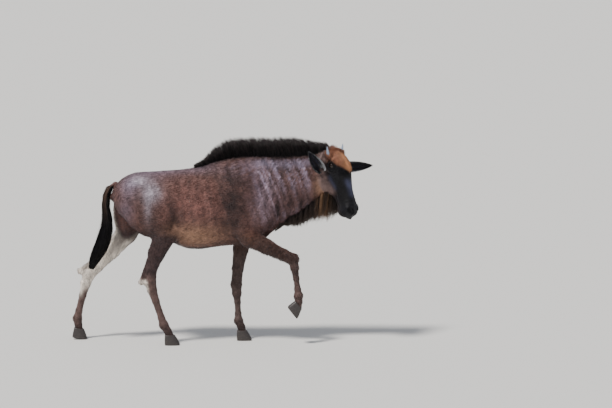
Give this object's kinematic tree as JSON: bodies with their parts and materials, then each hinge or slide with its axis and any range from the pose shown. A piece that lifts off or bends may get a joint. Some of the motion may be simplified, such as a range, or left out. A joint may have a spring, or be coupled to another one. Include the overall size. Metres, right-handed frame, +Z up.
{
  "type": "blue wildebeest calf, museum model",
  "caption": "Life-size still model of a young blue wildebeest walking with its head lowered, one foreleg lifted, with mane, throat beard and brush tail.",
  "frame": {"origin": "middle of the box round the animal, at the floor", "axes": "+X towards the head, +Y towards the animal's left, +Z up"},
  "size_m": [1.5234, 0.3254, 1.0595],
  "materials": {
    "coat": "short brown coat with a grey-violet sheen and dark stripes",
    "head": "black face, rusty forehead",
    "leg": "short grey-brown hair",
    "hair": "long black hair",
    "ear": "thin skin with fine hair",
    "horn": "dull grey horn",
    "hoof": "dark horn",
    "eye": "dark, wet and shiny"
  },
  "bodies": {
    "root": {"torso": "coat", "neck": "coat", "head": "head", "eye_left": "eye", "horn_left": "horn", "ear_left": "ear", "eye_right": "eye", "horn_right": "horn", "ear_right": "ear", "tail": "hair", "upper_fore_right": "leg", "lower_fore_right": "leg", "hoof_fore_right": "hoof", "upper_fore_left": "leg", "lower_fore_left": "leg", "hoof_fore_left": "hoof", "upper_hind_right": "leg", "lower_hind_right": "leg", "hoof_hind_right": "hoof", "upper_hind_left": "leg", "lower_hind_left": "leg", "hoof_hind_left": "hoof"}
  },
  "joints": []
}
